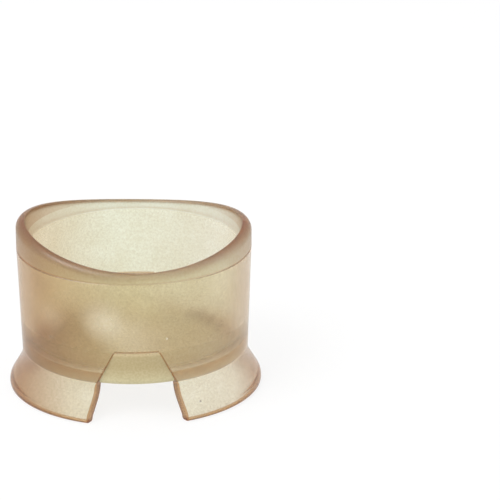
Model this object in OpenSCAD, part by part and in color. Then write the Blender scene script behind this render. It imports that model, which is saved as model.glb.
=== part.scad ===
// Oval eye bath of translucent amber PVC.
// One soft moulding, drawn as the pieces that its moulding lines divide it into:
// a saddle-shaped lip, the bowl's wall, its rounded base and a flared foot on each side.
// The long axis of the oval runs along X, and the feet stand on the plane z = 0.

/* [Mouth] */
// Outer width of the mouth, from end to end
mouth_width = 44; // [38:0.5:50]
// Outer depth of the mouth, from front to back
mouth_depth = 34.4; // [30:0.2:40]
// Height of the rim at its two ends, if its lowest point were in the middle
rim_end_height = 33.9; // [30:0.1:38]
// Drop of the rim from its ends to its lowest point, at the front and the back
saddle_drop = 3.5; // [1:0.1:5]
// Sideways place of the rim's lowest point
rim_low_shift = 1.7; // [-3:0.1:3]
// Height of the lip over the moulding line under it, where the rim is lowest
lip_height = 1.8; // [1.5:0.1:3]
// Share of the lip's thickness that its outer rounding takes up, the inner rounding having the rest
crown_share = 0.75; // [0.5:0.05:0.8]
// Height over the rim's lowest point from which the inner side of the lip leans outwards
bevel_lift = 0.4; // [0:0.1:2]
// Outward lean of the lip's inner side above that height, in degrees
bevel_angle = 8; // [0:1:12]

/* [Bowl] */
// Thickness of the lip and the wall, at the ends of the oval
wall_thickness = 2.1; // [1.4:0.1:2.8]
// Inward lean of the bowl's side, from the moulding line down to its waist above the flare of the feet
side_taper = 0.6; // [0:0.1:1.5]
// Height where the bowl's base begins and the feet grow out of it
root_height = 14.4; // [13:0.2:18]
// Step in the bowl's side under that height
root_step = 0.3; // [0.1:0.05:0.5]
// Height of the bowl's underside above the table
floor_height = 7.2; // [5:0.1:8]
// Thickness of the bowl's floor
floor_thickness = 1.6; // [1.2:0.1:2.6]
// Inset of the underside's edge from the waist, measured where the edge would be sharp
base_inset = 0.7; // [0.6:0.1:2]
// Radius of the underside's edge
base_corner_radius = 1.5; // [1:0.1:2.6]
// Inner radius between the bowl's wall and its floor
bowl_corner_radius = 3.2; // [2:0.1:4.6]

/* [Feet] */
// Outward spread of each foot, from the waist to the table
flare_spread = 2.6; // [1.4:0.1:4]
// Radius of the bend between the waist and the straight flare
flare_bend_radius = 6; // [2:0.5:8]
// Thickness of the feet, at the ends of the oval
foot_thickness = 1.9; // [1.4:0.1:2.4]
// Height where the flare of the feet begins
flare_top = 7.5; // [7:0.1:10]
// Height where the flare ends on the inner side of the feet, over an upright edge
flare_bottom = 0.9; // [0.7:0.1:2]
// Radius of the feet's lower edges
foot_edge_radius = 0.6; // [0.2:0.1:0.6]

/* [Notches] */
// Width of each notch at its top, in the upright plane that touches the feet's outermost edge
notch_top_width = 10.1; // [6:0.1:14]
// Width of each notch at the bend in its sides, in that plane
notch_bend_width = 20.7; // [15:0.1:21]
// Height of the bend in the notch's sides, in that plane
notch_bend_height = 4.5; // [4:0.1:9]
// Width of each notch at the table, in that plane
notch_foot_width = 21.1; // [21:0.1:24]
// Distance inwards from that plane to the point where the notch's faces would all meet
notch_reach = 12; // [11:0.5:20]

/* [Hidden] */

// Segments of a full turn, of a rounded corner and of the bend of the flare
turn_segments = 96;
corner_segments = 6;
bend_segments = 6;
// Stations of the lip around the oval
lip_stations = 72;
// Extra length of a cutter beyond what it cuts
over = 1;
// Share of the notch's reach that its cutter goes in, well past the inner side of the feet
notch_cut_share = 0.7;
// Largest share of the radius at which the bend would take up the whole flare
bend_share = 0.95;
// Least height between the lip's rounded top and what is below it, and least inner rounding
crown_gap = 0.05;
$fn = turn_segments;

// Front-to-back share of the oval's width, the same at every height
oval_ratio = mouth_depth / mouth_width;
mouth_radius = mouth_width / 2;
inner_radius = mouth_radius - wall_thickness;
waist_radius = mouth_radius - side_taper;
base_radius = waist_radius - base_inset;
foot_radius = waist_radius + flare_spread;
foot_half_depth = foot_radius * oval_ratio;
floor_top = floor_height + floor_thickness;
rim_low_height = rim_end_height - saddle_drop;
parting_height = rim_low_height - lip_height;
bevel_height = rim_low_height + bevel_lift;

// Radius of the straight outer side at a height between the waist and the moulding line
function side_radius(z) =
    waist_radius + side_taper * (z - flare_top) / (parting_height - flare_top);
root_radius = side_radius(root_height);
root_inner_radius = root_radius - wall_thickness;
ledge_radius = root_radius - root_step;

// Lean of the base's side between its ledge and the underside, and the centre of the rounded edge there
base_lean = atan((ledge_radius - base_radius) / (root_height - floor_height));
base_corner_inset = base_corner_radius * (1 - sin(base_lean)) / cos(base_lean);
base_corner_centre = [base_radius - base_corner_inset, floor_height + base_corner_radius];

// Height of the rim over a place x: a saddle, low in the middle and high at the ends
function rim_height(x) =
    rim_low_height + saddle_drop * pow((x - rim_low_shift) / mouth_radius, 2);

// Points of an arc around a centre, from one angle to another
function arc(centre, radius, from, to, segments) =
    [for (i = [0 : segments])
        let (angle = from + (to - from) * i / segments)
        centre + radius * [cos(angle), sin(angle)]];

// Section of the lip at an angle around the oval: up the outer side, over the rounded top, down the inside
function lip_section(turn) =
    let (
        top = rim_height((mouth_radius - wall_thickness / 2) * cos(turn)),
        outer = min(crown_share * wall_thickness, lip_height - crown_gap),
        bevel_rise = max(0, top - (wall_thickness - outer) - bevel_height),
        inner = max(crown_gap, wall_thickness - outer - bevel_rise * tan(bevel_angle)),
        peak = mouth_radius - outer,
        bevel_start = min(bevel_height, top - inner - crown_gap)
    )
    concat(
        [[mouth_radius, parting_height]],
        arc([peak, top - outer], outer, 0, 90, corner_segments),
        arc([peak, top - inner], inner, 90 + 90 / corner_segments, 180, corner_segments - 1),
        [[inner_radius, bevel_start], [inner_radius, parting_height]]
    );

// A point of a section, carried round the oval
function round_oval(point, turn) =
    [point[0] * cos(turn), point[0] * sin(turn) * oval_ratio, point[1]];

// A section turned half round the oval in two quarters, on the left from 90 degrees or on the right from -90
module half_oval(from) {
    for (quarter = [from, from + 90])
        scale([1, oval_ratio, 1])
            rotate([0, 0, quarter])
                rotate_extrude(angle = 90)
                    children();
}

// A section turned all round the oval, as a left and a right half
module full_oval() {
    for (from = [90, -90])
        half_oval(from) children();
}

// Outline of the space that the bowl's base fills, as a half section
module base_envelope() {
    polygon(concat(
        [[0, floor_height]],
        arc(base_corner_centre, base_corner_radius, -90, -base_lean, corner_segments),
        [[ledge_radius, root_height], [0, root_height]]
    ));
}

// Section of a foot: straight above the waist, bent into a straight flare, then upright at its edge
module foot_section() {
    flare_rise = flare_top - flare_bottom;
    whole_bend = (pow(flare_rise, 2) + pow(flare_spread, 2)) / (2 * flare_spread) - foot_thickness;
    bend = min(flare_bend_radius, bend_share * whole_bend);
    bend_centre = [waist_radius + bend, flare_top];
    // The inner side of the flare runs from the bend to the heel, and the outer side is parallel to it
    heel = [foot_radius - foot_thickness, flare_bottom];
    across = bend_centre[0] - heel[0];
    flare_angle = atan2(flare_rise, across)
        - acos((bend + foot_thickness) / norm([across, flare_rise]));
    edge = foot_edge_radius;
    difference() {
        polygon(concat(
            [[root_radius, root_height]],
            arc(bend_centre, bend, 180, 180 + flare_angle, bend_segments),
            arc(heel, foot_thickness, flare_angle, 0, corner_segments),
            arc([foot_radius - edge, edge], edge, 0, -90, corner_segments),
            arc([heel[0] + edge, edge], edge, 270, 180, corner_segments),
            [heel],
            arc(bend_centre, bend + foot_thickness, 180 + flare_angle, 180, bend_segments),
            [[root_inner_radius, root_height]]
        ));
        base_envelope();
    }
}

// Cutter for the front notch: a pyramid whose faces all lead to one point level with the notch's top
module notch_cutter() {
    depth = notch_reach * notch_cut_share;
    inner_share = 1 - notch_cut_share;
    widening = (1 + over / notch_reach) / inner_share;
    // The lower sides run on far enough to pass the table at the cutter's inner end
    tail = (root_height + over) / inner_share - root_height;
    tail_spread = (notch_foot_width - notch_bend_width) / 2 * tail / notch_bend_height;
    outline = [
        [notch_foot_width / 2 + tail_spread, -root_height - tail],
        [notch_bend_width / 2, notch_bend_height - root_height],
        [notch_top_width / 2, 0],
        [notch_top_width / 2, over]
    ];
    mirrored = [for (i = [len(outline) - 1 : -1 : 0]) [-outline[i][0], outline[i][1]]];
    translate([0, depth - foot_half_depth, root_height])
        rotate([90, 0, 0])
            linear_extrude(height = depth + over, scale = widening, slices = 1, segments = 1)
                scale(inner_share)
                    polygon(concat(outline, mirrored));
}

// Half of the flared skirt, between the front notch and the back one
module foot(from) {
    difference() {
        half_oval(from) foot_section();
        notch_cutter();
        rotate([0, 0, 180]) notch_cutter();
    }
}

// Saddle-shaped lip with a rounded top, which seals around the eye
module rim_lip() {
    sections = [for (s = [0 : lip_stations - 1]) lip_section(360 * s / lip_stations)];
    count = len(sections[0]);
    points = [
        for (s = [0 : lip_stations - 1])
            for (p = sections[s])
                round_oval(p, 360 * s / lip_stations)
    ];
    faces = [
        for (s = [0 : lip_stations - 1])
            for (i = [0 : count - 1])
                let (
                    a = s * count + i,
                    b = s * count + (i + 1) % count,
                    c = ((s + 1) % lip_stations) * count + (i + 1) % count,
                    d = ((s + 1) % lip_stations) * count + i
                )
                each [[a, b, c], [a, c, d]]
    ];
    color("#B08A60")
        polyhedron(points, faces);
}

// Nearly straight oval wall between the two moulding lines
module bowl_wall() {
    color("#C8B48A")
        full_oval()
            polygon([
                [inner_radius, parting_height],
                [root_inner_radius, root_height],
                [root_radius, root_height],
                [mouth_radius, parting_height]
            ]);
}

// Rounded base of the bowl, with a flat underside that has a rounded edge
module bowl_base() {
    corner = min(bowl_corner_radius, root_height - floor_top);
    corner_centre = [root_inner_radius - corner, floor_top + corner];
    color("#BFA67A")
        full_oval()
            difference() {
                base_envelope();
                polygon(concat(
                    [[0, root_height + over], [0, floor_top]],
                    arc(corner_centre, corner, -90, 0, corner_segments),
                    [[root_inner_radius, root_height + over]]
                ));
            }
}

// Flared foot on the left of the notches
module left_foot() {
    color("#D9CDA4")
        foot(90);
}

// Flared foot on the right of the notches
module right_foot() {
    color("#D9CDA4")
        foot(-90);
}

rim_lip();
bowl_wall();
bowl_base();
left_foot();
right_foot();
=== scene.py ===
"""Oval eye bath of translucent amber PVC, standing on a pale studio floor.

The real thing is one soft moulding. Its feet, base, wall and lip are pieces of their own here,
modelled from the table upwards, and light passes between two that join as if they were one.
"""
import math

import bpy
from mathutils import Matrix, Vector


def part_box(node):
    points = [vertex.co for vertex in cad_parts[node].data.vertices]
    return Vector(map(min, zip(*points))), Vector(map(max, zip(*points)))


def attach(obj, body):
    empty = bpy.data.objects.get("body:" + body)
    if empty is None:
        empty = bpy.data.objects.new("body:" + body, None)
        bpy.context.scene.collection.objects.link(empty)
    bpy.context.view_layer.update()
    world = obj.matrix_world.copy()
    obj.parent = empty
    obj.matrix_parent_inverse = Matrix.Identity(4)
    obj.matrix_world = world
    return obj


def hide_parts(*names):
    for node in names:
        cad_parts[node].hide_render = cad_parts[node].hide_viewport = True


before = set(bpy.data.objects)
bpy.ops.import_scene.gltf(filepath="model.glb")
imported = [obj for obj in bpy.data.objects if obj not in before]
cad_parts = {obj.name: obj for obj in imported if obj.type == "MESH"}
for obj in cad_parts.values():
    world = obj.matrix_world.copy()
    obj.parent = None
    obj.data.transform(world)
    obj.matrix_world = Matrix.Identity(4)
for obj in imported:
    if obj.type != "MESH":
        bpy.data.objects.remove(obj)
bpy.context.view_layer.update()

# Feet: two flared halves of a skirt that hold the bowl clear of the table, parted by a notch at
# the front and one at the back. Soft translucent PVC, moulded in one with the bowl, so they run
# into its base and its wall without a line.
MM = 0.001
foot_low, foot_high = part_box("left_foot")
base_low, base_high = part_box("bowl_base")
_, wall_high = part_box("bowl_wall")
mouth_radius = wall_high[0]
oval_ratio = wall_high[1] / wall_high[0]
parting_height = wall_high[2]
root_height = foot_high[2]
floor_height = base_low[2]
foot_radius = -foot_low[0]
ledge_radius = base_high[0]
side_taper = 0.6 * MM
waist_radius = mouth_radius - side_taper
foot_thickness = 1.9 * MM
flare_top = 7.5 * MM
flare_bottom = 0.9 * MM
bend_radius = 6 * MM
foot_edge_radius = 0.6 * MM
cut_edge_radius = 0.22 * MM
table_shade_height = 0.4 * MM
smooth_angle = math.radians(35)
# Width left open between two pieces that join, so that light crosses one face at a time
seam = 0.008 * MM
# Two places closer than this count as one
near = 0.02 * MM
# Steps along each foot from one notch to the other
side_steps = 72

# Each foot bends out from the waist into a straight flare, and is upright again at its heel
heel_radius = foot_radius - foot_thickness
flare_rise = flare_top - flare_bottom
flare_across = waist_radius + bend_radius - heel_radius
flare_angle = math.atan2(flare_rise, flare_across) - math.acos(
    (bend_radius + foot_thickness) / math.hypot(flare_across, flare_rise)
)

# The base that the feet grow out of: its side leans in to a rounded edge around the underside
base_inset = 0.7 * MM
base_radius = waist_radius - base_inset
base_edge_radius = 1.5 * MM
base_lean = math.atan((ledge_radius - base_radius) / (root_height - floor_height))
base_edge_inset = base_edge_radius * (1 - math.sin(base_lean)) / math.cos(base_lean)
base_edge_place = (base_radius - base_edge_inset, floor_height + base_edge_radius)

# Each notch narrows towards a point inside the bowl. Its two pairs of sides are given by their half
# width at the notch's top and their slope, in the upright plane that touches the feet's edge.
notch_reach = 12 * MM
notch_point = foot_radius * oval_ratio - notch_reach
notch_top = 10.1 * MM / 2
notch_bend = 20.7 * MM / 2
notch_foot = 21.1 * MM / 2
bend_height = 4.5 * MM
upper_slope = (notch_bend - notch_top) / (root_height - bend_height)
lower_slope = (notch_foot - notch_bend) / bend_height
notch_sides = [
    (notch_top, upper_slope),
    (notch_bend - lower_slope * (root_height - bend_height), lower_slope),
]


def notch_angle(radius, height):
    """Angle from the front to the notch's nearer side, at a radius and height of the skirt."""
    angles = []
    for half_width, slope in notch_sides:
        lean = half_width * oval_ratio * radius / notch_reach
        reach = slope * (root_height - height) - half_width * notch_point / notch_reach
        angles.append(math.atan2(lean, radius) + math.asin(reach / math.hypot(radius, lean)))
    return min(angles)


def side_radius(height):
    """Outer radius of the bowl's straight side, which leans in towards the waist."""
    share = (height - flare_top) / (parting_height - flare_top)
    return waist_radius + (mouth_radius - waist_radius) * share


def skirt_radius(height, inset):
    """Radius of a foot's outer face, or of its inner face where inset is the foot's thickness."""
    bend = bend_radius + inset
    heel = foot_thickness - inset
    rise = height - flare_bottom
    if height >= flare_top:
        radius = side_radius(height) - inset
    elif height >= flare_top - bend * math.sin(flare_angle):
        radius = waist_radius + bend_radius - math.sqrt(bend**2 - (flare_top - height) ** 2)
    elif rise >= heel * math.sin(flare_angle):
        radius = heel_radius + (heel - rise * math.sin(flare_angle)) / math.cos(flare_angle)
    elif rise >= 0:
        radius = heel_radius + math.sqrt(heel**2 - rise**2)
    else:
        radius = foot_radius - inset
    if height < foot_edge_radius:
        run = math.sqrt(foot_edge_radius**2 - (foot_edge_radius - height) ** 2)
        rounding = foot_edge_radius - run
        radius += rounding if inset else -rounding
    return radius


def steps(start, end, count):
    """Values from start to end in count equal steps, both ends among them."""
    return [start + (end - start) * i / count for i in range(count + 1)]


def arc(place, radius, start, end, count):
    """Points of an arc in a section, from one angle to another."""
    return [
        (place[0] + radius * math.cos(angle), place[1] + radius * math.sin(angle))
        for angle in steps(start, end, count)
    ]


def foot_root_angle(gap):
    """Angle on the base's rounded edge where a foot's inner face meets it, a gap outside it."""
    across = waist_radius + bend_radius - base_edge_place[0]
    down = base_edge_place[1] - flare_top
    apart = math.hypot(across, down)
    inner = bend_radius + foot_thickness
    reach = base_edge_radius + gap
    opening = math.acos((reach**2 + apart**2 - inner**2) / (2 * reach * apart))
    return -math.atan2(down, across) - opening


def foot_root(gap):
    """Points down the base's side and round its edge to a foot's inner face, a gap outside it."""
    edge = arc(base_edge_place, base_edge_radius + gap, -base_lean, foot_root_angle(gap), 8)
    top = root_height - seam
    top_radius = edge[0][0] + (top - edge[0][1]) * math.tan(base_lean)
    side = zip(steps(top_radius, edge[0][0], 6), steps(top, edge[0][1], 6))
    return list(side)[:-1] + edge


def base_gap(radius, height):
    """Distance of a place outside the base's sloping side or its rounded edge."""
    out = radius - base_edge_place[0]
    up = height - base_edge_place[1]
    if math.atan2(up, out) > -base_lean:
        return out * math.cos(base_lean) - up * math.sin(base_lean) - base_edge_radius
    return math.hypot(out, up) - base_edge_radius


def oval_radius(point):
    """Radius of a point of the oval, measured along its long axis."""
    return math.hypot(point.x, point.y / oval_ratio)


def lay_on_oval(piece, edge_angle, window_turn):
    """Moves a round piece's points to the oval, with those at window_turn on the notch's sides."""
    for point in piece.data.vertices:
        x, y, height = point.co
        radius = math.hypot(x, y)
        turn = abs(math.atan2(x, -y))
        edge = edge_angle(radius, height)
        if turn < window_turn:
            turn *= edge / window_turn
        elif turn > math.pi - window_turn:
            turn = math.pi - (math.pi - turn) * edge / window_turn
        else:
            turn = edge + (turn - window_turn) * (math.pi - 2 * edge) / (math.pi - 2 * window_turn)
        side = 1 if x > near else -1
        across = side * radius * math.sin(turn)
        point.co = (across, -radius * oval_ratio * math.cos(turn), height)


def mark_faces(piece, name, value):
    """Keeps a value on each face for its material: joined, where it meets another piece and light
    crosses it unbent, a brown share, where an edge looks brown or painted shade darkens it, or
    frosted, where the mould was rough."""
    marks = piece.data.attributes.new(name, "FLOAT", "FACE")
    for face in piece.data.polygons:
        corners = [piece.data.vertices[i].co for i in face.vertices]
        marks.data[face.index].value = value(face.center, corners)


def linear(code):
    """Linear colour of an sRGB hex code."""
    shares = [int(code[i : i + 2], 16) / 255 for i in (1, 3, 5)]
    return [s / 12.92 if s <= 0.04045 else ((s + 0.055) / 1.055) ** 2.4 for s in shares]


def add_node(tree, kind, inputs=None, **settings):
    """Adds a node, with its settings and with a value or a link for each input named."""
    node = tree.nodes.new(kind)
    for name, value in settings.items():
        setattr(node, name, value)
    for name, value in (inputs or {}).items():
        if isinstance(value, bpy.types.NodeSocket):
            tree.links.new(value, node.inputs[name])
        else:
            node.inputs[name].default_value = value
    return node


def soft_pvc(name, roughness, low_roughness, density, marks=()):
    """Plasticised PVC with a satin face: amber, paler to the right as painted light from that side,
    and browner the further light runs in it.

    Roughness is that of faces above the feet's root, and low_roughness that of faces well below it.
    Density says how fast light is lost inside. A mark is a place and a radius in millimetres, a
    colour, how much of that colour it has, and how much of the light it holds back."""
    half_width = 22 * MM
    cloud_width = 6 * MM
    ring_length = 14 * MM
    ring_spacing = 0.35 * MM
    grain_width = 0.4 * MM
    bump_height = 0.02 * MM
    rough_height = 11.5 * MM
    gloss_change = 0.12
    material = bpy.data.materials.new(name)
    material.use_nodes = True
    tree = material.node_tree
    tree.nodes.clear()
    place = add_node(tree, "ShaderNodeTexCoord").outputs["Object"]
    axes = add_node(tree, "ShaderNodeSeparateXYZ", {0: place}).outputs
    joined = add_node(tree, "ShaderNodeAttribute", attribute_name="joined").outputs["Fac"]
    brown_and_shade = add_node(tree, "ShaderNodeAttribute", attribute_name="brown_and_shade").outputs["Fac"]
    frosted = add_node(tree, "ShaderNodeAttribute", attribute_name="frosted").outputs["Fac"]

    # Warm tan on the left, straw in the middle and almost clear on the right. This is painted light:
    # paler on the right, which is lit from that side, and browner on the shaded left.
    left = add_node(
        tree, "ShaderNodeMapRange", {"Value": axes["X"], "From Min": -half_width, "From Max": -5 * MM}
    )
    right = add_node(
        tree, "ShaderNodeMapRange", {"Value": axes["X"], "From Min": 0, "From Max": half_width}
    )
    tint = add_node(
        tree,
        "ShaderNodeMixRGB",
        {
            "Fac": left.outputs[0],
            "Color1": (*linear("#EEE0C5"), 1),
            "Color2": (*linear("#FBFDED"), 1),
        },
    )
    tint = add_node(
        tree,
        "ShaderNodeMixRGB",
        {"Fac": right.outputs[0], "Color1": tint.outputs[0], "Color2": (*linear("#FFFFF6"), 1)},
    )
    # The back is a little greener
    back = add_node(
        tree, "ShaderNodeMapRange", {"Value": axes["Y"], "From Min": 4 * MM, "From Max": 13 * MM}
    )
    tint = add_node(
        tree,
        "ShaderNodeMixRGB",
        {"Fac": back.outputs[0], "Color1": tint.outputs[0], "Color2": (*linear("#F7FBFB"), 1)},
        blend_type="MULTIPLY",
    )
    # The bowl's front is a little browner than the rest, apart from its right
    front = add_node(
        tree, "ShaderNodeMapRange", {"Value": axes["Y"], "From Min": 8 * MM, "From Max": -14 * MM}
    )
    bowl = add_node(
        tree, "ShaderNodeMapRange", {"Value": axes["Z"], "From Min": 8 * MM, "From Max": 12 * MM}
    )
    not_right = add_node(
        tree,
        "ShaderNodeMapRange",
        {"Value": axes["X"], "From Min": 16 * MM, "From Max": 0},
    )
    browner_front = add_node(
        tree, "ShaderNodeMath", {0: front.outputs[0], 1: bowl.outputs[0]}, operation="MULTIPLY"
    )
    browner_front = add_node(
        tree, "ShaderNodeMath", {0: browner_front.outputs[0], 1: not_right.outputs[0]}, operation="MULTIPLY"
    )
    tint = add_node(
        tree,
        "ShaderNodeMixRGB",
        {"Fac": browner_front.outputs[0], "Color1": tint.outputs[0], "Color2": (*linear("#FFF7F1"), 1)},
        blend_type="MULTIPLY",
    )
    # Clouds a few millimetres wide, from the way that the PVC flowed into the mould
    clouds = add_node(
        tree, "ShaderNodeTexNoise", {"Vector": place, "Scale": 1 / cloud_width, "Detail": 3}
    )
    cloudy = add_node(
        tree,
        "ShaderNodeMapRange",
        {"Value": clouds.outputs["Fac"], "From Min": 0.35, "From Max": 0.65, "To Max": 0.5},
    )
    tint = add_node(
        tree,
        "ShaderNodeMixRGB",
        {"Fac": cloudy.outputs[0], "Color1": tint.outputs[0], "Color2": (*linear("#F4EFE6"), 1)},
        blend_type="MULTIPLY",
    )
    # Fine rings round the bowl, from a little above the feet downwards, left by the tool that cut
    # the mould
    ring_place = add_node(
        tree,
        "ShaderNodeMapping",
        {"Vector": place, "Scale": (1 / ring_length, 1 / ring_length, 1 / ring_spacing)},
    )
    rings = add_node(
        tree, "ShaderNodeTexNoise", {"Vector": ring_place.outputs[0], "Scale": 1, "Detail": 1}
    )
    ring_band = add_node(
        tree,
        "ShaderNodeMapRange",
        {"Value": axes["Z"], "From Min": 20 * MM, "From Max": 16 * MM, "To Max": 0.25},
    )
    ringed = add_node(
        tree,
        "ShaderNodeMath",
        {0: rings.outputs["Fac"], 1: ring_band.outputs[0]},
        operation="MULTIPLY",
    )
    tint = add_node(
        tree,
        "ShaderNodeMixRGB",
        {"Fac": ringed.outputs[0], "Color1": tint.outputs[0], "Color2": (*linear("#E6DAC6"), 1)},
        blend_type="MULTIPLY",
    )
    # The feet turn brown towards their ends, more on the left
    left_end = add_node(
        tree,
        "ShaderNodeMapRange",
        {"Value": axes["X"], "From Min": -12.5 * MM, "From Max": -22 * MM, "To Max": 0.62},
    )
    right_end = add_node(
        tree,
        "ShaderNodeMapRange",
        {"Value": axes["X"], "From Min": 18 * MM, "From Max": 23 * MM, "To Max": 0.55},
    )
    ends = add_node(
        tree, "ShaderNodeMath", {0: left_end.outputs[0], 1: right_end.outputs[0]}, operation="ADD"
    )
    low = add_node(
        tree, "ShaderNodeMapRange", {"Value": axes["Z"], "From Min": 12 * MM, "From Max": 8 * MM}
    )
    brown = add_node(
        tree, "ShaderNodeMath", {0: ends.outputs[0], 1: low.outputs[0]}, operation="MULTIPLY"
    )
    # Cut faces and the crown of the lip are brown, as light runs far through the PVC to them. The
    # same share also holds painted shade along each foot's edge on the table and along the lip's
    # parting groove.
    brown = add_node(
        tree, "ShaderNodeMath", {0: brown.outputs[0], 1: brown_and_shade}, operation="MAXIMUM"
    )
    tint = add_node(
        tree,
        "ShaderNodeMixRGB",
        {"Fac": brown.outputs[0], "Color1": tint.outputs[0], "Color2": (*linear("#B07B4A"), 1)},
    )
    # Frosted faces scatter light from without: tan, paler near the table as painted light from the
    # white floor, and with a painted highlight along their top edge
    from_within = add_node(tree, "ShaderNodeNewGeometry").outputs["Backfacing"]
    frost = add_node(
        tree, "ShaderNodeMath", {0: frosted, 1: from_within}, operation="SUBTRACT", use_clamp=True
    )
    rise = add_node(
        tree, "ShaderNodeMapRange", {"Value": axes["Z"], "From Min": 7.3 * MM, "From Max": 11 * MM}
    )
    tan = add_node(
        tree,
        "ShaderNodeMixRGB",
        {
            "Fac": rise.outputs[0],
            "Color1": (*linear("#D6D1AC"), 1),
            "Color2": (*linear("#B8A980"), 1),
        },
    )
    edge_highlight = add_node(
        tree, "ShaderNodeMapRange", {"Value": axes["Z"], "From Min": 13.4 * MM, "From Max": 14.1 * MM}
    )
    tan = add_node(
        tree,
        "ShaderNodeMixRGB",
        {"Fac": edge_highlight.outputs[0], "Color1": tan.outputs[0], "Color2": (*linear("#D6C59E"), 1)},
    )
    tint = add_node(
        tree,
        "ShaderNodeMixRGB",
        {"Fac": frost.outputs[0], "Color1": tint.outputs[0], "Color2": tan.outputs[0]},
    )
    passed = add_node(
        tree, "ShaderNodeMapRange", {"Value": frost.outputs[0], "To Min": 1, "To Max": 0.2}
    )
    # Marks: soft round patches of another colour, some of which let less light in. Some are specks,
    # and some are painted light or painted shade.
    for centre, radius, colour, cover, held_back in marks:
        away = add_node(
            tree,
            "ShaderNodeVectorMath",
            {0: place, 1: [value * MM for value in centre]},
            operation="DISTANCE",
        )
        mark = add_node(
            tree,
            "ShaderNodeMapRange",
            {"Value": away.outputs["Value"], "From Min": radius * MM, "From Max": 0},
            interpolation_type="SMOOTHSTEP",
        )
        covered = add_node(
            tree, "ShaderNodeMath", {0: mark.outputs[0], 1: cover}, operation="MULTIPLY"
        )
        tint = add_node(
            tree,
            "ShaderNodeMixRGB",
            {"Fac": covered.outputs[0], "Color1": tint.outputs[0], "Color2": (*linear(colour), 1)},
        )
        passed = add_node(
            tree,
            "ShaderNodeMath",
            {0: mark.outputs[0], 1: -held_back, 2: passed.outputs[0]},
            operation="MULTIPLY_ADD",
            use_clamp=True,
        )
    # Satin: fine grain in the surface, drawn coarser than it is so that it shows, and a gloss that
    # varies with it. The bowl's core was left rougher towards its floor.
    grain = add_node(
        tree, "ShaderNodeTexNoise", {"Vector": place, "Scale": 1 / grain_width, "Detail": 2}
    )
    speckle = add_node(
        tree,
        "ShaderNodeMapRange",
        {"Value": grain.outputs["Fac"], "From Min": 0.35, "From Max": 0.65},
    )
    tint = add_node(
        tree,
        "ShaderNodeMixRGB",
        {"Fac": speckle.outputs[0], "Color1": tint.outputs[0], "Color2": (*linear("#F1EEE6"), 1)},
        blend_type="MULTIPLY",
    )
    level = add_node(
        tree,
        "ShaderNodeMapRange",
        {
            "Value": axes["Z"],
            "From Min": root_height,
            "From Max": rough_height,
            "To Min": roughness,
            "To Max": low_roughness,
        },
    )
    varied = add_node(
        tree,
        "ShaderNodeMapRange",
        {
            "Value": grain.outputs["Fac"],
            "From Min": 0.3,
            "From Max": 0.7,
            "To Min": 1 - gloss_change,
            "To Max": 1 + gloss_change,
        },
    )
    gloss = add_node(
        tree, "ShaderNodeMath", {0: level.outputs[0], 1: varied.outputs[0]}, operation="MULTIPLY"
    )
    bump = add_node(
        tree,
        "ShaderNodeBump",
        {"Height": grain.outputs["Fac"], "Strength": 0.06, "Distance": bump_height},
    )
    bump = add_node(
        tree,
        "ShaderNodeBump",
        {
            "Height": ringed.outputs[0],
            "Strength": 0.1,
            "Distance": bump_height,
            "Normal": bump.outputs["Normal"],
        },
    )
    solid = add_node(tree, "ShaderNodeMath", {0: 1, 1: joined}, operation="SUBTRACT")
    surface = add_node(
        tree,
        "ShaderNodeBsdfPrincipled",
        {
            "Base Color": tint.outputs[0],
            "Roughness": gloss.outputs[0],
            "IOR": 1.52,
            "Transmission Weight": passed.outputs[0],
            "Alpha": solid.outputs[0],
            "Normal": bump.outputs["Normal"],
        },
    )
    # Red light runs furthest, so deep places look brown
    inside = add_node(
        tree, "ShaderNodeVolumeAbsorption", {"Color": (*linear("#EDBC50"), 1), "Density": density}
    )
    add_node(
        tree,
        "ShaderNodeOutputMaterial",
        {"Surface": surface.outputs["BSDF"], "Volume": inside.outputs["Volume"]},
    )
    return material


inner_root = foot_root(seam)
root_low = inner_root[-1][1]
outer_heights = steps(inner_root[0][1], root_low, len(inner_root) - 1)
foot_rungs = [((skirt_radius(h, 0), h), inner) for h, inner in zip(outer_heights, inner_root)]
edge_heights = [foot_edge_radius * (1 - math.sin(a)) for a in steps(0, math.pi / 2, 5)]
for height in steps(root_low, foot_edge_radius, 16)[1:] + edge_heights[1:]:
    foot_rungs.append(
        ((skirt_radius(height, 0), height), (skirt_radius(height, foot_thickness), height))
    )

bpy.ops.object.select_all(action="DESELECT")
bpy.ops.mesh.primitive_grid_add(x_subdivisions=1, y_subdivisions=len(foot_rungs) - 1)
left_foot = bpy.context.object
left_foot.name = "left_flared_foot"
for row, rung in enumerate(foot_rungs):
    for side, (radius, height) in enumerate(rung):
        left_foot.data.vertices[2 * row + side].co = (0, -radius, height)
bpy.ops.object.mode_set(mode="EDIT")
bpy.ops.mesh.select_all(action="SELECT")
bpy.ops.mesh.spin(steps=side_steps, angle=math.pi, center=(0, 0, 0), axis=(0, 0, 1))
bpy.ops.mesh.select_all(action="SELECT")
bpy.ops.mesh.normals_make_consistent(inside=False)
bpy.ops.mesh.select_mode(type="EDGE")
bpy.ops.mesh.select_all(action="DESELECT")
bpy.ops.mesh.edges_select_sharp(sharpness=math.radians(60))
bpy.ops.object.mode_set(mode="OBJECT")


def joins_bowl(radius, height):
    """True for a place of a foot that lies on the bowl's base or under its wall."""
    return height > root_height - near or base_gap(radius, height) < near


# The outline of the two cut faces is rounded over, apart from where the foot joins the bowl
for edge in left_foot.data.edges:
    ends = [left_foot.data.vertices[i].co for i in edge.vertices]
    upright = all(abs(end.x) < near for end in ends)
    joined = all(joins_bowl(abs(end.y), end.z) for end in ends)
    edge.select = edge.select and upright and not joined
lay_on_oval(left_foot, notch_angle, 0)
bpy.ops.object.mode_set(mode="EDIT")
bpy.ops.mesh.bevel(offset=cut_edge_radius, segments=3, affect="EDGES", loop_slide=False)
bpy.ops.object.mode_set(mode="OBJECT")
bpy.ops.object.shade_smooth_by_angle(angle=smooth_angle)


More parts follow.
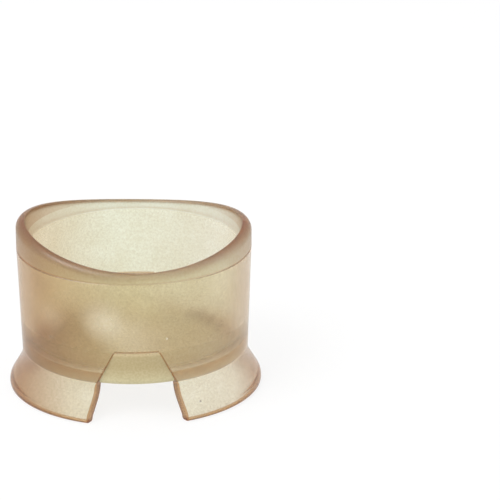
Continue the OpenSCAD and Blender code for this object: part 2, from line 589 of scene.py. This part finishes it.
def foot_brown_and_shade(centre, corners):
    """Brown share of a foot's face: all of the cut faces, and the edge that stands on the table,
    where the brown is painted shade in place of the contact shadow.
    """
    radius = oval_radius(centre)
    turn = abs(math.atan2(centre.x, -centre.y / oval_ratio))
    past_cut = (min(turn, math.pi - turn) - notch_angle(radius, centre.z)) * radius
    if past_cut < cut_edge_radius:
        return 1
    return 1 if centre.z < table_shade_height else 0


mark_faces(
    left_foot,
    "joined",
    lambda centre, corners: all(joins_bowl(oval_radius(c), c.z) for c in corners),
)
mark_faces(left_foot, "brown_and_shade", foot_brown_and_shade)
# Two pale patches beside the front notch, painted light let through from the white floor under the
# bowl, a dark speck, and two stains at the right end
foot_specks_and_painted_light = [
    ((-9.7, -15.3, 5.1), 2.6, "#FFFAEC", 0.12, 0.12),
    ((9.8, -15.5, 4.7), 2.6, "#FFFAEC", 0.12, 0.12),
    ((11.78, -15.34, 3.32), 0.35, "#4A3A2A", 0.9, 0.9),
    ((22.2, -4, 3.5), 1.2, "#9A6A3C", 0.3, 0),
    ((22.9, -5.5, 1.2), 1.2, "#9A6A3C", 0.3, 0),
]
foot_pvc = soft_pvc(
    "soft PVC, satin feet", roughness=0.23, low_roughness=0.23, density=70, marks=foot_specks_and_painted_light
)
left_foot.data.materials.append(foot_pvc)

bpy.ops.object.duplicate()
right_foot = bpy.context.object
right_foot.name = "right_flared_foot"
right_foot.data.transform(Matrix.Rotation(math.pi, 4, "Z"))

for foot, node in ((left_foot, "left_foot"), (right_foot, "right_foot")):
    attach(foot, "root")
    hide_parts(node)

# Base: the rounded bottom of the bowl, with a flat underside that shows in the notches and, as a
# brown band, through the feet. Soft PVC, moulded in one with the wall above it.
floor_thickness = 1.6 * MM
wall_thickness = 2.1 * MM
bowl_corner_radius = 3.2 * MM
flat_margin = 0.5 * MM
window_steps = 24
ring_points = 2 * (side_steps + window_steps)
window_turn = math.pi * window_steps / ring_points
root_radius = side_radius(root_height)
root_inner_radius = root_radius - wall_thickness
floor_top = floor_height + floor_thickness


def add_rings(name, section):
    """Adds a ring at a section's first point, and extrudes and scales it to each other point."""
    bpy.ops.object.select_all(action="DESELECT")
    radius, height = section[0]
    bpy.ops.mesh.primitive_circle_add(
        vertices=ring_points, radius=radius, location=(0, 0, height), rotation=(0, 0, -math.pi / 2)
    )
    piece = bpy.context.object
    piece.name = name
    bpy.ops.object.transform_apply()
    bpy.ops.object.mode_set(mode="EDIT")
    bpy.ops.mesh.select_all(action="SELECT")
    for next_radius, next_height in section[1:]:
        bpy.ops.mesh.extrude_edges_move(
            TRANSFORM_OT_translate={"value": (0, 0, next_height - height)}
        )
        share = next_radius / radius
        bpy.ops.transform.resize(value=(share, share, 1), center_override=(0, 0, 0))
        radius, height = next_radius, next_height
    bpy.ops.mesh.select_all(action="SELECT")
    bpy.ops.mesh.remove_doubles(threshold=0.0005 * MM)
    bpy.ops.mesh.fill_holes(sides=0)
    bpy.ops.mesh.select_all(action="SELECT")
    bpy.ops.mesh.normals_make_consistent(inside=False)
    bpy.ops.object.mode_set(mode="OBJECT")
    return piece


def in_notch(point):
    """True for a point of the oval that shows in the front or back notch."""
    turn = abs(math.atan2(point.x, -point.y / oval_ratio))
    edge = notch_angle(oval_radius(point), min(point.z, root_height))
    return min(turn, math.pi - turn) < edge


base_root = foot_root(0)
base_section = [(base_edge_place[0] - flat_margin, floor_height)]
base_section += arc(base_edge_place, base_edge_radius, -math.pi / 2, foot_root_angle(0), 4)[:-1]
base_section += reversed(base_root)
bowl_corner_place = (root_inner_radius - bowl_corner_radius, floor_top + bowl_corner_radius)
base_section.append((root_inner_radius, base_root[0][1]))
base_section += arc(bowl_corner_place, bowl_corner_radius, 0, -math.pi / 2, 14)
base_section.append((bowl_corner_place[0] - flat_margin, floor_top))
base = add_rings("rounded_base", base_section)


def base_notch_angle(radius, height):
    """Notch angle on the part of the base that the feet join, and that at its edges elsewhere."""
    if abs(base_gap(radius, height)) < near and height > root_low - near:
        return notch_angle(radius, height)
    if height < root_low:
        return notch_angle(*base_root[-1])
    return notch_angle(*base_root[0])


def base_joins(centre, corners):
    """True for a face of the base that the wall or a foot covers."""
    if min(corner.z for corner in corners) > base_root[0][1] - near:
        return True
    on_side = all(abs(base_gap(oval_radius(corner), corner.z)) < near for corner in corners)
    above_edge = min(corner.z for corner in corners) > base_root[-1][1] - near
    return on_side and above_edge and not in_notch(centre)


def base_frost(centre, corners):
    """True for a face of the base's outer side that shows in a notch."""
    return abs(base_gap(oval_radius(centre), centre.z)) < 3 * near and in_notch(centre)


lay_on_oval(base, base_notch_angle, window_turn)
mark_faces(base, "joined", base_joins)
mark_faces(base, "frosted", base_frost)
bpy.ops.object.shade_smooth_by_angle(angle=smooth_angle)
base_pvc = soft_pvc("soft PVC, satin base", roughness=0.23, low_roughness=0.6, density=70)
base.data.materials.append(base_pvc)
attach(base, "root")
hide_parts("bowl_base")

# Wall: the nearly straight side of the bowl, which is squeezed between two fingers. Soft PVC with
# a satin face, and a fine groove round its top where the mould's two halves met.
inner_radius = mouth_radius - wall_thickness
groove = 0.12 * MM
notch_line = 0.4 * MM
wall_section = [
    (ledge_radius, root_height),
    (root_radius, root_height),
    (side_radius(root_height + notch_line), root_height + notch_line),
    (side_radius(parting_height - groove), parting_height - groove),
    (mouth_radius - groove, parting_height),
    (inner_radius, parting_height),
    (root_inner_radius, root_height),
    (ledge_radius, root_height),
]
wall = add_rings("oval_wall", wall_section)


def wall_joins(centre, corners):
    """True for a face of the wall that the lip, the base or a foot covers."""
    if min(corner.z for corner in corners) > parting_height - near:
        return True
    if max(corner.z for corner in corners) > root_height + near:
        return False
    return oval_radius(centre) < ledge_radius or not in_notch(centre)


lay_on_oval(
    wall, lambda radius, height: notch_angle(max(radius, ledge_radius), root_height), window_turn
)


def wall_notch_brown(centre, corners):
    """Brown share of a face of the wall: a line along the top edge of each notch."""
    low = max(corner.z for corner in corners) < root_height + notch_line + near
    return 0.85 if low and oval_radius(centre) > ledge_radius and in_notch(centre) else 0


mark_faces(wall, "joined", wall_joins)
mark_faces(wall, "brown_and_shade", wall_notch_brown)
bpy.ops.object.shade_smooth_by_angle(angle=smooth_angle)
# Painted light: a bright spot and paler patches at the front, where light comes through the bowl.
# Painted shade: a brown left side. Also a brown stroke on the right and three small specks
wall_specks_and_painted_light = [
    ((-6.4, -16.2, 20.9), 5.5, "#FBF3DA", 0.28, 0.28),
    ((-3.6, -16.8, 20.2), 7, "#FBF3DA", 0.1, 0.1),
    ((0, -16.9, 16), 8, "#FBF3DA", 0.16, 0.16),
    ((-15.7, -11.8, 19.8), 4.5, "#FBF3DA", 0.12, 0.12),
    ((-17.6, -10, 26), 7, "#8A5A28", 0.1, 0),
    ((10.1, -15.1, 21.6), 2.2, "#8A5A28", 0.3, 0),
    ((12, -14.2, 20.7), 2.4, "#8A5A28", 0.4, 0),
    ((13.8, -13.1, 19.2), 2.4, "#8A5A28", 0.4, 0),
    ((15.6, -11.8, 17.4), 2.2, "#8A5A28", 0.3, 0),
    ((-15.93, -11.65, 15.51), 0.45, "#9A7A55", 0.5, 0.5),
    ((-15.4, -12.1, 15.6), 0.4, "#F0E4C4", 0.4, 0.4),
    ((5.61, -16.49, 17.15), 0.35, "#FBF5E6", 0.7, 0.7),
]
wall_pvc = soft_pvc(
    "soft PVC, satin wall", roughness=0.23, low_roughness=0.23, density=65, marks=wall_specks_and_painted_light
)
wall.data.materials.append(wall_pvc)
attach(wall, "root")
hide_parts("bowl_wall")

# Lip: the thick rounded edge that seals on the bone around the eye, low at the front and the back
# and high at its ends, the left one a little more. Soft PVC, left matt by its half of the mould.
rim_low_height = 30.4 * MM
saddle_drop = 3.5 * MM
rim_low_shift = 1.7 * MM
bevel_lift = 0.4 * MM
bevel_height = rim_low_height + bevel_lift
bevel_angle = math.radians(8)
crown_gap = 0.05 * MM
crown_share = 0.75
crown_outer = crown_share * wall_thickness
lip_bottom = parting_height + seam
line_height = 0.35 * MM
line_top = lip_bottom + line_height
brown_reach = 1.1 * MM


def lip_section(turn):
    """Section of the lip: up its outer side, over the rounded crown and down the inner side."""
    across = (mouth_radius - wall_thickness / 2) * math.sin(turn)
    height = rim_low_height + saddle_drop * ((across - rim_low_shift) / mouth_radius) ** 2
    bevel_rise = max(0, height - (wall_thickness - crown_outer) - bevel_height)
    crown_inner = wall_thickness - crown_outer - bevel_rise * math.tan(bevel_angle)
    bevel_start = min(bevel_height, height - crown_inner - crown_gap)
    peak = mouth_radius - crown_outer
    side_top = height - crown_outer
    start = math.asin(max(0, line_top - side_top) / crown_outer)
    section = [(mouth_radius - groove, lip_bottom), (mouth_radius, lip_bottom + groove)]
    section.append((mouth_radius, min(line_top, side_top)))
    section += arc((peak, side_top), crown_outer, start, math.pi / 2, 12)
    section += arc((peak, height - crown_inner), crown_inner, math.pi / 2, math.pi, 8)[1:]
    return section + [(inner_radius, bevel_start), (inner_radius, lip_bottom)]


# The rings are first stacked a millimetre apart, so that each one's number can be told by its height
ring_count = len(lip_section(0))
lip = add_rings("saddle_lip", [(mouth_radius, i * MM) for i in range(ring_count)])
bpy.ops.object.mode_set(mode="EDIT")
bpy.ops.mesh.select_mode(type="FACE")
bpy.ops.mesh.select_all(action="DESELECT")
bpy.ops.object.mode_set(mode="OBJECT")
for face in lip.data.polygons:
    face.select = len(face.vertices) > 4
bpy.ops.object.mode_set(mode="EDIT")
bpy.ops.mesh.bridge_edge_loops()
bpy.ops.object.mode_set(mode="OBJECT")
lay_on_oval(lip, lambda radius, height: notch_angle(*base_root[0]), window_turn)
for point in lip.data.vertices:
    turn = math.atan2(point.co.x, -point.co.y / oval_ratio)
    radius, height = lip_section(turn)[round(point.co.z / MM)]
    point.co = (radius * math.sin(turn), -radius * oval_ratio * math.cos(turn), height)
bpy.ops.object.mode_set(mode="EDIT")
bpy.ops.mesh.select_all(action="SELECT")
bpy.ops.mesh.normals_make_consistent(inside=False)
bpy.ops.object.mode_set(mode="OBJECT")


def lip_brown_and_shade(centre, corners):
    """Brown share of a face of the lip: most along its crown, less down the outside."""
    radius = oval_radius(centre)
    top = max(height for _, height in lip_section(math.atan2(centre.x, -centre.y / oval_ratio)))
    side = centre.x / mouth_radius
    across = side**2
    # The back is fainter than the front
    front = 1 if centre.y < 0 else 0.2 + 0.4 * across
    # The band along the parting groove is painted shade, darker on the left and fainter on the right
    if centre.z < line_top and radius > mouth_radius - 2 * groove:
        return front * (0.38 - 0.12 * side + (0.5 if side < 0 else 0.2) * across)
    inward = (mouth_radius - radius) / wall_thickness
    if inward > 0.8 and centre.z > bevel_height:
        # The bevel inside, brown towards its ends
        return 0.25 + 0.5 * across if centre.x < 0 else 0.75 * across**2
    reach = brown_reach - 0.3 * MM * side
    fade = max(0, 1 - (top - centre.z) / reach)
    along = 1 - 0.4 * across if centre.x < 0 else 0.85 + 0.15 * across
    crown = fade * (0.5 + 0.6 * inward) * along
    return front * max(crown, 0.15 if centre.x < 0 else 0)


mark_faces(lip, "joined", lambda centre, corners: max(c.z for c in corners) < lip_bottom + near)
mark_faces(lip, "brown_and_shade", lip_brown_and_shade)
bpy.ops.object.shade_smooth_by_angle(angle=smooth_angle)
lip_pvc = soft_pvc("soft PVC, matt lip", roughness=0.36, low_roughness=0.36, density=45)
lip.data.materials.append(lip_pvc)
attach(lip, "root")
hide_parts("rim_lip")

# Floor: a sheet of matt white paper, laid flat, that the eye bath stands on. It keeps the soft
# shadow under the feet, and otherwise looks white to the camera, to reflections and through PVC.
bpy.ops.object.select_all(action="DESELECT")
paper_width = 4
paper_gap = 0.05 * MM
bpy.ops.mesh.primitive_plane_add(size=paper_width, location=(0, 0, -paper_gap))
floor = bpy.context.object
floor.name = "studio_floor"
paper = bpy.data.materials.new("matt white paper")
paper.use_nodes = True
tree = paper.node_tree
tree.nodes.clear()
path = add_node(tree, "ShaderNodeLightPath").outputs
seen = add_node(
    tree,
    "ShaderNodeMath",
    {0: path["Is Camera Ray"], 1: path["Is Glossy Ray"]},
    operation="MAXIMUM",
)
seen = add_node(
    tree,
    "ShaderNodeMath",
    {0: seen.outputs[0], 1: path["Is Transmission Ray"]},
    operation="MAXIMUM",
)
share = add_node(tree, "ShaderNodeMath", {0: seen.outputs[0], 1: 0.8}, operation="MULTIPLY")
lit = add_node(tree, "ShaderNodeBsdfDiffuse", {"Color": (*linear("#EDEDED"), 1)})
white = add_node(tree, "ShaderNodeEmission", {"Color": (*linear("#FFFFFF"), 1), "Strength": 1})
mix = add_node(
    tree, "ShaderNodeMixShader", {0: share.outputs[0], 1: lit.outputs[0], 2: white.outputs[0]}
)
add_node(tree, "ShaderNodeOutputMaterial", {"Surface": mix.outputs[0]})
floor.data.materials.append(paper)

# Light: a pale room all round, as bright as white paper, and one soft box above the front left that
# gives the lip and the feet their gloss.
world = bpy.data.worlds.new("studio")
bpy.context.scene.world = world
world.use_nodes = True
tree = world.node_tree
tree.nodes.clear()
room = add_node(tree, "ShaderNodeBackground", {"Color": (*linear("#FFFFFF"), 1), "Strength": 1})
add_node(tree, "ShaderNodeOutputWorld", {"Surface": room.outputs[0]})

target = Vector((0, 0, 15 * MM))
softbox_place = Vector((-0.25, -0.2, 0.45))
softbox_width = 0.3
softbox_watts = 1.5
bpy.ops.object.light_add(type="AREA", location=softbox_place)
key = bpy.context.object
key.name = "key_softbox"
key.data.size = softbox_width
key.data.energy = softbox_watts
key.rotation_euler = (target - softbox_place).to_track_quat("-Z", "Y").to_euler()

# Camera: a long lens, a little above the rim and almost square to the front notch. It is tilted a
# little and aims past the object, which stands at the left of the frame.
distance = 520 * MM
elevation = math.radians(27.28)
turn = math.radians(-0.62)
roll = math.radians(0.36)
aim_right = 21.96 * MM
aim_up = 10.84 * MM
level = math.cos(elevation)
back = Vector((math.sin(turn) * level, -math.cos(turn) * level, math.sin(elevation)))
right = Vector((math.cos(turn), math.sin(turn), 0))
up = back.cross(right)
bpy.ops.object.camera_add(location=target + back * distance)
camera = bpy.context.object
aim = target + right * aim_right + up * aim_up
camera.rotation_euler = (aim - camera.location).to_track_quat("-Z", "Y").to_euler()
camera.rotation_euler.rotate_axis("Z", roll)
camera.data.lens = 197.5
camera.data.sensor_width = 36
camera.data.clip_start = 0.01
bpy.context.scene.camera = camera
bpy.context.scene.view_settings.view_transform = "Standard"
# Light inside the PVC crosses many faces before it comes out
bpy.context.scene.cycles.max_bounces = 48
bpy.context.scene.cycles.transmission_bounces = 48
bpy.context.scene.cycles.diffuse_bounces = 24
bpy.context.scene.cycles.glossy_bounces = 16
bpy.context.scene.cycles.transparent_max_bounces = 64
